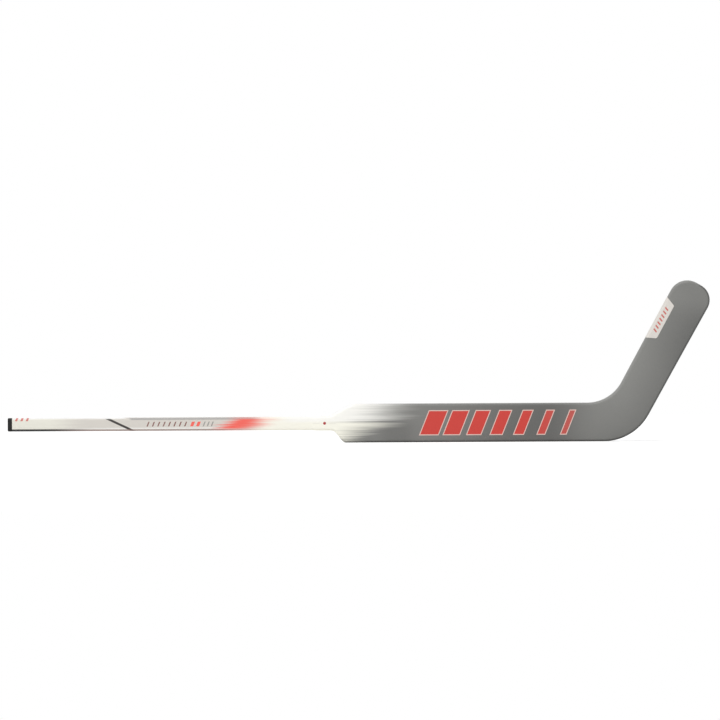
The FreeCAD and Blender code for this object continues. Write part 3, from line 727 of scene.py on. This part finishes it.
# Fade from cream to grey at the shoulder: its middle and reach above and below, and one long streak
FADE_HIGH_X = LOWER_SHOULDER_X + 0.090
FADE_LOW_X = LOWER_SHOULDER_X + 0.008
FADE_HIGH_REACH = 0.088
FADE_LOW_REACH = 0.040
FADE_RISE = (0.004, 0.052)
FADE_BROAD_NOISE = Noise((5, 40, 120), 2.0)
FADE_BROAD_FRAY = 0.09
FADE_FINE_NOISE = Noise((7, 90, 420), roughness=0.6)
FADE_FINE_FRAY = 0.07
FADE_STREAK_Z = AXIS_Z + 0.0022
FADE_STREAK_EDGE = (0.0008, 0.0040)
FADE_STREAK_PUSH = 0.045

# Rows of slanted ticks: where a row starts, its pitch, count, tick width, narrowing and half height
Row = namedtuple("Row", "start pitch count width narrowing half_height")
SLANT = 0.40
SHAFT_TICK_HALF_HEIGHT = 0.0052
LABEL_TICK_PITCH = 0.009
LABEL_TICK_COUNT = 7
LABEL_TICK_START = -LABEL_FROM_TOE - (LABEL_LENGTH + LABEL_TICK_COUNT * LABEL_TICK_PITCH) / 2
PADDLE_BARS = Row(LOWER_SHOULDER_X + 0.1767, 0.050, 7, 0.040, 0.0048, 0.026)
BROWN_TICKS = Row(BUTT_X + 0.2977, 0.012, 8, 0.0030, 0, SHAFT_TICK_HALF_HEIGHT)
RED_TICKS = Row(BUTT_X + 0.3967, 0.013, 2, 0.0070, 0, SHAFT_TICK_HALF_HEIGHT)
GREY_TICKS = Row(BUTT_X + 0.4247, 0.009, 3, 0.0030, 0, SHAFT_TICK_HALF_HEIGHT)
BUTT_TICKS = Row(BUTT_X + 0.0057, 0.012, 3, 0.0050, 0, 0.0070)
LABEL_TICKS = Row(LABEL_TICK_START, LABEL_TICK_PITCH, LABEL_TICK_COUNT, 0.0036, 0, 0.0045)
TICK_BROWN = linear(136, 96, 90)
TICK_GREY = linear(160, 158, 154)
TICK_PINK = linear(204, 112, 104)
BUTT_TICK_STRENGTH = 0.8
BAR_RED = linear(204, 56, 46)
BAR_DULL = linear(188, 84, 77)
BAR_DULL_REACH = (LOWER_SHOULDER_X + 0.3947, LOWER_SHOULDER_X + 0.5347)
KEYLINE = linear(230, 198, 188)
KEYLINE_WIDTH = 0.0020

# Lacquer over the paint, and the fibres under it
SHAFT_ROUGHNESS = 0.34
LAMINATE_ROUGHNESS = 0.40
UNEVEN_NOISE = Noise((30, 60, 60))
UNEVEN_SPREAD = 0.12
COAT_WEIGHT = 0.12
COAT_ROUGHNESS = 0.25
PEEL_NOISE = Noise((700, 700, 700), 2.0)
PEEL_STRENGTH = 0.12
PEEL_HEIGHT = 0.0002
WEAVE_PITCH = 0.003
WEAVE_RELIEF = 1.2

# Other finishes: two colours, roughness and its spread, and the strength and height of the relief
Texture = namedtuple("Texture", "dark light roughness spread strength height")
PLUG_TEXTURE = Texture(linear(20, 20, 19), linear(32, 32, 31), 0.50, 0.20, 0.25, 0.0002)
PLUG_NOISE = Noise((90, 90, 90))
PLUG_PEBBLES = 1400
PLUG_SHINE = 0.25
LABEL_TEXTURE = Texture(linear(220, 215, 209), linear(230, 225, 219), 0.35, 0.15, 0.08, 0.0001)
LABEL_NOISE = Noise((420, 420, 420), 4.0)
DOT_TEXTURE = Texture(linear(150, 34, 40), linear(188, 58, 58), 0.40, 0.20, 0.10, 0.0001)
DOT_NOISE = Noise((500, 500, 500))
FOAM_TEXTURE = Texture(linear(222, 210, 172), linear(240, 232, 204), 0.75, 0.20, 0.60, 0.0004)
FOAM_NOISE = Noise((40, 40, 40))
FOAM_NOISE_SHARE = 0.6
FOAM_CELLS = 900
WOOD_TEXTURE = Texture(linear(186, 142, 92), linear(226, 190, 140), 0.50, 0.20, 0.25, 0.0003)
WOOD_GRAIN_NOISE = Noise((12, 500, 500), 5.0, 0.6)
WOOD_GRAIN_SHARE = 0.6
WOOD_RING_NOISE = Noise((3, 90, 90), 2.0)
RIB_TEXTURE = Texture(linear(34, 34, 36), linear(66, 66, 68), 0.35, 0.20, 0.30, 0.0002)
RIB_RADIANS_PER_METRE = 1600


def way_along(x, z, start, angle):
    """How far a place in the X-Z plane lies from a start along a heading at an angle above +X."""
    return (x - start[0]) * math.cos(angle) + (z - start[1]) * math.sin(angle)


def ticks(finish, along, across, row, margin=0.0):
    """1 on the slanted ticks of a row and 0 elsewhere, with each tick grown by a margin all round."""
    place = (along - row.start - across * SLANT) / row.pitch
    number = finish.math("FLOOR", place)
    off_middle = abs(place - number - 0.5) * row.pitch
    half_width = (row.width - number * row.narrowing) / 2 + margin
    in_row = (number > -0.5) * (number < row.count - 0.5)
    return (off_middle < half_width) * (abs(across) < row.half_height + margin) * in_row


def paint_lower_highlight(finish, colour, x, z):
    """A soft painted highlight along the shaft, just above its brown line, where the face turns into the
    lower rounded corner.
    """
    length = finish.band(x, LOWER_HIGHLIGHT_START, LOWER_HIGHLIGHT_STOP)
    pale = finish.band(z, BROWN_LINE_EDGE, LOWER_HIGHLIGHT_EDGE) * length
    return finish.mix(colour, HIGHLIGHT_WHITE, pale * LOWER_HIGHLIGHT_STRENGTH)


def paint_stripe(finish, colour, x, z):
    """A dark stripe that slants across the shaft."""
    off_middle = abs(x - STRIPE_X - (z - AXIS_Z) * STRIPE_SLOPE)
    return finish.mix(colour, STRIPE_DARK, finish.fall(off_middle, *STRIPE_EDGE))


def paint_edge_lines(finish, colour, x, z):
    """Thin lines along the shaft's edges: a white painted highlight on the upper corner and then grey above,
    black and then brown below.
    """
    # The white line is a painted highlight on the upper rounded corner, with a ragged border
    ragged = finish.fray(TOP_CORNER_HIGHLIGHT_NOISE, TOP_CORNER_HIGHLIGHT_FRAY)
    white = finish.rise(z + ragged, *TOP_CORNER_HIGHLIGHT_EDGE) * finish.fall(x, *TOP_CORNER_HIGHLIGHT_STOP)
    colour = finish.mix(colour, HIGHLIGHT_WHITE, white)
    leaning = x + z - AXIS_Z
    pin_length = finish.band(leaning, PIN_LINE_START, PIN_LINE_STOP)
    pin = finish.band(z, PIN_LINE_LOW, PIN_LINE_HIGH) * pin_length
    colour = finish.mix(colour, PIN_AND_SHADE_GREY, pin * PIN_LINE_STRENGTH)
    brown = finish.fall(z, *BROWN_LINE_EDGE) * finish.fall(x, *BROWN_LINE_STOP)
    colour = finish.mix(colour, LINE_BROWN, brown * BROWN_LINE_STRENGTH)
    black = finish.fall(z, *BLACK_LINE_EDGE) * finish.fall(x, *BLACK_LINE_STOP)
    return finish.mix(colour, LINE_BLACK, black)


def paint_marks(finish, colour, x, z):
    """Short rows of ticks on the shaft, and faint lines of painted shade along ridges on the neck."""
    off_axis = z - AXIS_Z
    for row, tone in ((BROWN_TICKS, TICK_BROWN), (RED_TICKS, SMEAR_RED), (GREY_TICKS, TICK_GREY)):
        colour = finish.mix(colour, tone, ticks(finish, x, off_axis, row))
    butt_ticks = ticks(finish, x, z - SHAFT_TOP, BUTT_TICKS)
    colour = finish.mix(colour, BAR_RED, butt_ticks * BUTT_TICK_STRENGTH)
    # Painted shade of the neck's faint ridges, as thin grey lines
    for middle in RIDGE_SHADE_MIDDLES:
        ridge_shade = finish.fall(abs(x - middle), *RIDGE_SHADE_HALF_LENGTH) * finish.fall(abs(off_axis), *RIDGE_SHADE_EDGE)
        colour = finish.mix(colour, PIN_AND_SHADE_GREY, ridge_shade * RIDGE_SHADE_STRENGTH)
    return colour


def paint_smear(finish, colour, x, z):
    """A red brush mark that leans with the height and frays out in streaks at both ends."""
    broad = finish.fray(SMEAR_BROAD_NOISE, SMEAR_BROAD_FRAY)
    fine = finish.fray(SMEAR_FINE_NOISE, SMEAR_FINE_FRAY)
    off_axis = z - AXIS_Z
    place = x + broad + fine - off_axis * SMEAR_LEAN
    strength = 1 - finish.rise(abs(off_axis), *SMEAR_EDGE) * SMEAR_EDGE_LOSS
    return finish.mix(colour, SMEAR_RED, finish.band(place, SMEAR_START, SMEAR_STOP) * strength)


def shaft_colour(finish, x, z):
    """Pale paint that turns grey along the shaft and cream at the neck, with a painted highlight on the
    neck's upper half, and its marks.
    """
    drift = finish.fray(PALE_NOISE, PALE_DRIFT)
    colour = finish.mix(SHAFT_PALE, SHAFT_GREY, finish.rise(x + drift, *PALE_REACH))
    grain = finish.rise(finish.noise(GRAIN_NOISE), *GRAIN_EDGE)
    colour = finish.mix(colour, GRAIN_GREY, grain * GRAIN_STRENGTH)
    colour = finish.mix(colour, CREAM, finish.rise(x, *CREAM_REACH))
    # Painted highlight on the upper half of the neck
    upper_neck_highlight = finish.rise(x, *NECK_HIGHLIGHT_REACH) * finish.rise(z, *NECK_HIGHLIGHT_RISE)
    colour = finish.mix(colour, NECK_HIGHLIGHT, upper_neck_highlight)
    for paint in (paint_lower_highlight, paint_stripe, paint_edge_lines, paint_marks, paint_smear):
        colour = paint(finish, colour, x, z)
    return colour


def paddle_grey(finish, x, z, across):
    """Grey with soft darker stretches near the shoulder and on the paddle, painted shade on the blade towards
    the toe, and painted light that is paler towards the top and darker below, strongest on the blade.
    """
    along = way_along(x, z, blade_point(0, 0), BLADE_ANGLE)
    paddle_shade = finish.band(x, PADDLE_SHADE_START, PADDLE_SHADE_STOP) * PADDLE_SHADE
    # Painted shade along the blade towards the toe
    blade_painted_shade = finish.band(along, BLADE_PAINTED_SHADE_START, BLADE_PAINTED_SHADE_STOP) * BLADE_PAINTED_SHADE
    low = finish.fall(across, *SHOULDER_SHADE_SHARES)
    shoulder_shade = finish.band(x, SHOULDER_SHADE_START, SHOULDER_SHADE_STOP) * low * SHOULDER_SHADE
    # Painted light: paler towards the top and darker below, strongest on the blade
    on_blade = finish.rise(x, *PAINTED_LIGHT_CHANGE) * finish.fall(along, *PAINTED_LIGHT_STOP)
    painted_light = PADDLE_PAINTED_LIGHT + on_blade * (BLADE_PAINTED_LIGHT - PADDLE_PAINTED_LIGHT)
    clouds = finish.noise(CLOUD_NOISE) * CLOUD_TONE
    flakes = finish.noise(FLAKE_NOISE) * FLAKE_TONE
    tone = PLAIN_TONE + clouds + flakes + (across - 0.5) * painted_light
    return finish.mix(DEEP_GREY, LIGHT_GREY, tone - paddle_shade - blade_painted_shade - shoulder_shade)


def paint_rims(finish, colour, x, across, fade):
    """A dark painted edge along the sole from the shoulder to the toe that also stands for the shade of the
    underside, and a painted highlight along the grey upper edge.
    """
    from_rim = finish.attribute("from_rim")
    # Dark painted edge along the sole, also standing for the underside's shade
    sole = finish.fall(from_rim, *SOLE_DARK_AND_SHADE_LINE) * finish.fall(across, *SOLE_DARK_AND_SHADE_SHARES)
    colour = finish.mix(colour, EDGE_DARK_AND_SHADE, sole * finish.rise(x, *SOLE_DARK_AND_SHADE_START) * SOLE_DARK_AND_SHADE_STRENGTH)
    # Painted highlight along the grey upper edge
    top = finish.fall(from_rim, *TOP_EDGE_HIGHLIGHT) * finish.rise(across, *TOP_EDGE_HIGHLIGHT_SHARES)
    return finish.mix(colour, EDGE_HIGHLIGHT, top * fade * TOP_EDGE_HIGHLIGHT_STRENGTH)


def shoulder_fade(finish, x, z):
    """0 on the neck and 1 on the paddle, with streaks between; it comes sooner and sharper below."""
    broad = finish.fray(FADE_BROAD_NOISE, FADE_BROAD_FRAY)
    fine = finish.fray(FADE_FINE_NOISE, FADE_FINE_FRAY)
    streak = finish.fall(abs(z - FADE_STREAK_Z), *FADE_STREAK_EDGE) * FADE_STREAK_PUSH
    high = finish.rise(z, *FADE_RISE)
    middle = FADE_LOW_X + high * (FADE_HIGH_X - FADE_LOW_X)
    reach = FADE_LOW_REACH + high * (FADE_HIGH_REACH - FADE_LOW_REACH)
    return finish.rise((x + broad + fine + streak - middle) / reach, -1.0, 1.0)


def paint_bars(finish, colour, x, z):
    """A row of slanted red bars that narrow and dull towards the blade, each with a pale keyline."""
    off_axis = z - AXIS_Z
    colour = finish.mix(colour, KEYLINE, ticks(finish, x, off_axis, PADDLE_BARS, KEYLINE_WIDTH))
    red = finish.mix(BAR_RED, BAR_DULL, finish.rise(x, *BAR_DULL_REACH))
    return finish.mix(colour, red, ticks(finish, x, off_axis, PADDLE_BARS))


def weave(finish, along, across):
    """The relief of crossed fibres under paint: two waves at right angles, both slanted."""
    turns = math.pi / WEAVE_PITCH
    return finish.math("SINE", (along + across) * turns) * finish.math("SINE", (along - across) * turns)


def lacquer(finish, colour, roughness, relief=0.0):
    """A satin lacquer over paint: uneven roughness, and a fine orange peel over what lies under the paint."""
    peel = finish.noise(PEEL_NOISE)
    uneven = finish.noise(UNEVEN_NOISE)
    finish.surface(Base_Color=colour, Roughness=roughness + uneven * UNEVEN_SPREAD,
                   Coat_Weight=COAT_WEIGHT, Coat_Roughness=COAT_ROUGHNESS,
                   Normal=finish.bump(peel + relief, PEEL_STRENGTH, PEEL_HEIGHT))


def cover(finish, texture, colour, grain, relief, **inputs):
    """A bare surface: a colour, roughness that follows a grain, and a normal that follows a relief."""
    finish.surface(Base_Color=colour, Roughness=texture.roughness + grain * texture.spread,
                   Normal=finish.bump(relief, texture.strength, texture.height), **inputs)


def new_finish(name):
    """A new material and its empty node tree."""
    material = bpy.data.materials.new(name)
    return material, Finish(material)


def shaft_paint():
    """Painted composite of the shaft, with bare dark fibre on its cut end and in its bore."""
    material, finish = new_finish("shaft_paint")
    x, _, z = finish.axes()
    bare = finish.rise(finish.attribute("in_bore"), *CUT_EDGE)
    lacquer(finish, finish.mix(shaft_colour(finish, x, z), BORE_DARK, bare), SHAFT_ROUGHNESS)
    return material


def laminate():
    """Painted laminate of neck, paddle and blade."""
    material, finish = new_finish("laminate")
    x, _, z = finish.axes()
    across = finish.attribute("across")
    fade = shoulder_fade(finish, x, z)
    colour = finish.mix(shaft_colour(finish, x, z), paddle_grey(finish, x, z, across), fade)
    colour = paint_rims(finish, colour, x, across, fade)
    colour = paint_bars(finish, colour, x, z)
    lacquer(finish, colour, LAMINATE_ROUGHNESS, weave(finish, x, z) * fade * WEAVE_RELIEF)
    return material


def plug_plastic():
    """Black moulded plastic with a fine pebble grain."""
    material, finish = new_finish("plug_plastic")
    clouds = finish.noise(PLUG_NOISE)
    colour = finish.mix(PLUG_TEXTURE.dark, PLUG_TEXTURE.light, clouds)
    cover(finish, PLUG_TEXTURE, colour, clouds, finish.cells(PLUG_PEBBLES), Specular_IOR_Level=PLUG_SHINE)
    return material


def label_film():
    """White satin film with faint fibres and a row of thin slanted red ticks."""
    material, finish = new_finish("label_film")
    x, _, z = finish.axes()
    edge_end = blade_point(BLADE_LENGTH, BLADE_WIDTH)
    along = way_along(x, z, edge_end, TOP_EDGE_ANGLE)
    across = way_along(x, z, edge_end, TOP_EDGE_ANGLE + math.pi / 2)
    fibres = finish.noise(LABEL_NOISE)
    colour = finish.mix(LABEL_TEXTURE.dark, LABEL_TEXTURE.light, fibres)
    red_ticks = ticks(finish, along, across + LABEL_DEPTH / 2, LABEL_TICKS)
    colour = finish.mix(colour, TICK_PINK, red_ticks)
    cover(finish, LABEL_TEXTURE, colour, fibres, fibres)
    return material


def dot_paint():
    """Dark red rubbery paint of the finger marker."""
    material, finish = new_finish("dot_paint")
    clouds = finish.noise(DOT_NOISE)
    colour = finish.mix(DOT_TEXTURE.dark, DOT_TEXTURE.light, clouds)
    cover(finish, DOT_TEXTURE, colour, clouds, clouds)
    return material


def foam():
    """Pale rigid foam with closed cells."""
    material, finish = new_finish("foam")
    cells = finish.cells(FOAM_CELLS)
    tint = finish.noise(FOAM_NOISE) * FOAM_NOISE_SHARE + cells * (1 - FOAM_NOISE_SHARE)
    colour = finish.mix(FOAM_TEXTURE.dark, FOAM_TEXTURE.light, tint)
    cover(finish, FOAM_TEXTURE, colour, cells, cells)
    return material


def edge_wood():
    """Pale wood with long grain."""
    material, finish = new_finish("edge_wood")
    grain = finish.noise(WOOD_GRAIN_NOISE)
    tint = grain * WOOD_GRAIN_SHARE + finish.noise(WOOD_RING_NOISE) * (1 - WOOD_GRAIN_SHARE)
    colour = finish.mix(WOOD_TEXTURE.dark, WOOD_TEXTURE.light, tint)
    cover(finish, WOOD_TEXTURE, colour, grain, grain)
    return material


def rib_laminate():
    """Dark fibre laminate with a woven look: two crossed waves."""
    material, finish = new_finish("rib_laminate")
    x, y, z = finish.axes()
    warp = finish.math("SINE", (x + z) * RIB_RADIANS_PER_METRE)
    weft = finish.math("SINE", (x - z + y) * RIB_RADIANS_PER_METRE)
    cloth = warp * weft * 0.5 + 0.5
    colour = finish.mix(RIB_TEXTURE.dark, RIB_TEXTURE.light, cloth)
    cover(finish, RIB_TEXTURE, colour, cloth, cloth)
    return material


def dress(piece, material):
    """Give an object one material."""
    piece.data.materials.clear()
    piece.data.materials.append(material)


laminate_finish = laminate()
dress(make_shell("front_skin", "front_shell", FRONT), laminate_finish)
dress(make_shell("back_skin", "back_shell", BACK), laminate_finish)
dress(make_tube(), shaft_paint())
dress(make_plug(), plug_plastic())
dress(make_label(), label_film())
dress(make_dot(), dot_paint())
inner_finishes = {"foam": foam(), "edge_wood": edge_wood(), "rib_laminate": rib_laminate()}
for part in frame["record"]["subparts"]:
    if part["material_slot"] in inner_finishes:
        dress(frame["nodes"][part["node"]], inner_finishes[part["material_slot"]])


# Studio

PURE_WHITE = (1, 1, 1, 1)
BACKDROP_LEVEL = 1.0
WORLD_LEVEL = 0.38
FLOOR_SIZE = 12
FLOOR_SEEN = linear(250, 250, 250)
FLOOR_BOUNCE = linear(244, 244, 242)
FLOOR_GLOW = 0.30
CAMERA_LENS = 300
SENSOR_WIDTH = 36
CAMERA_ROLL = math.radians(0.29)
FIELD_MARGIN = 0.0405
VIEW_SHIFT_X = 0.0035
VIEW_SHIFT_Z = 0.0051


def seen_or_lit(finish, lit, seen):
    """One shader for the light that a surface gives, and another for where the camera sees it.

    Shiny and clear surfaces see the same one as the camera.
    """
    rays = finish.node("LightPath", outputs=("Is Camera Ray", "Is Glossy Ray", "Is Transmission Ray"))
    camera, glossy, clear = rays
    directly = finish.math("MAXIMUM", finish.math("MAXIMUM", camera, glossy), clear)
    return finish.node("MixShader", inputs={0: directly, 1: lit, 2: seen})


def make_world():
    """A white backdrop that lights the stick only softly."""
    world = bpy.data.worlds.new("studio")
    finish = Finish(world)
    soft = finish.node("Background", inputs={"Color": PURE_WHITE, "Strength": WORLD_LEVEL})
    white = finish.node("Background", inputs={"Color": PURE_WHITE, "Strength": BACKDROP_LEVEL})
    finish.close("OutputWorld", seen_or_lit(finish, soft, white))
    bpy.context.scene.world = world


def make_floor():
    """A pale floor at the paddle's lower edge, lifted to white for the camera but for its shadows."""
    half = FLOOR_SIZE / 2
    corners = [(-half, -half, 0), (half, -half, 0), (half, half, 0), (-half, half, 0)]
    mesh = bpy.data.meshes.new("floor")
    mesh.from_pydata(corners, [], [(0, 1, 2, 3)])
    floor = bpy.data.objects.new("floor", mesh)
    bpy.context.scene.collection.objects.link(floor)
    material, finish = new_finish("floor")
    bounce = finish.node("BsdfDiffuse", inputs={"Color": FLOOR_BOUNCE})
    pale = finish.node("BsdfDiffuse", inputs={"Color": FLOOR_SEEN})
    glow = finish.node("Emission", inputs={"Color": PURE_WHITE, "Strength": FLOOR_GLOW})
    lifted = finish.node("AddShader", inputs={0: pale, 1: glow})
    finish.close("OutputMaterial", seen_or_lit(finish, bounce, lifted))
    dress(floor, material)


def make_lamp(name, turn, height, spread, strength):
    """An even soft lamp: its turn about the stick from the front, its height and its spread in degrees."""
    light = bpy.data.lights.new(name, "SUN")
    light.energy = strength
    light.angle = math.radians(spread)
    lamp = bpy.data.objects.new(name, light)
    lamp.rotation_euler = (math.radians(90 - height), 0, math.radians(turn))
    bpy.context.scene.collection.objects.link(lamp)


def make_camera():
    """A camera square to the front, as far away as its lens needs to hold the stick and a margin."""
    low, high = cad_box
    data = bpy.data.cameras.new("camera")
    data.lens = CAMERA_LENS
    data.sensor_width = SENSOR_WIDTH
    camera = bpy.data.objects.new("camera", data)
    field_width = high[0] - low[0] + FIELD_MARGIN
    distance = field_width * CAMERA_LENS / SENSOR_WIDTH
    centre_x = (low[0] + high[0]) / 2 + VIEW_SHIFT_X
    centre_z = (low[2] + high[2]) / 2 + VIEW_SHIFT_Z
    camera.location = (centre_x, -distance, centre_z)
    camera.rotation_euler = (math.pi / 2, CAMERA_ROLL, 0)
    bpy.context.scene.collection.objects.link(camera)
    bpy.context.scene.camera = camera


make_world()
make_floor()
make_lamp("key", turn=-28, height=42, spread=50, strength=1.62)
make_lamp("rear", turn=160, height=60, spread=60, strength=0.6)
make_camera()
bpy.context.scene.view_settings.view_transform = "Standard"
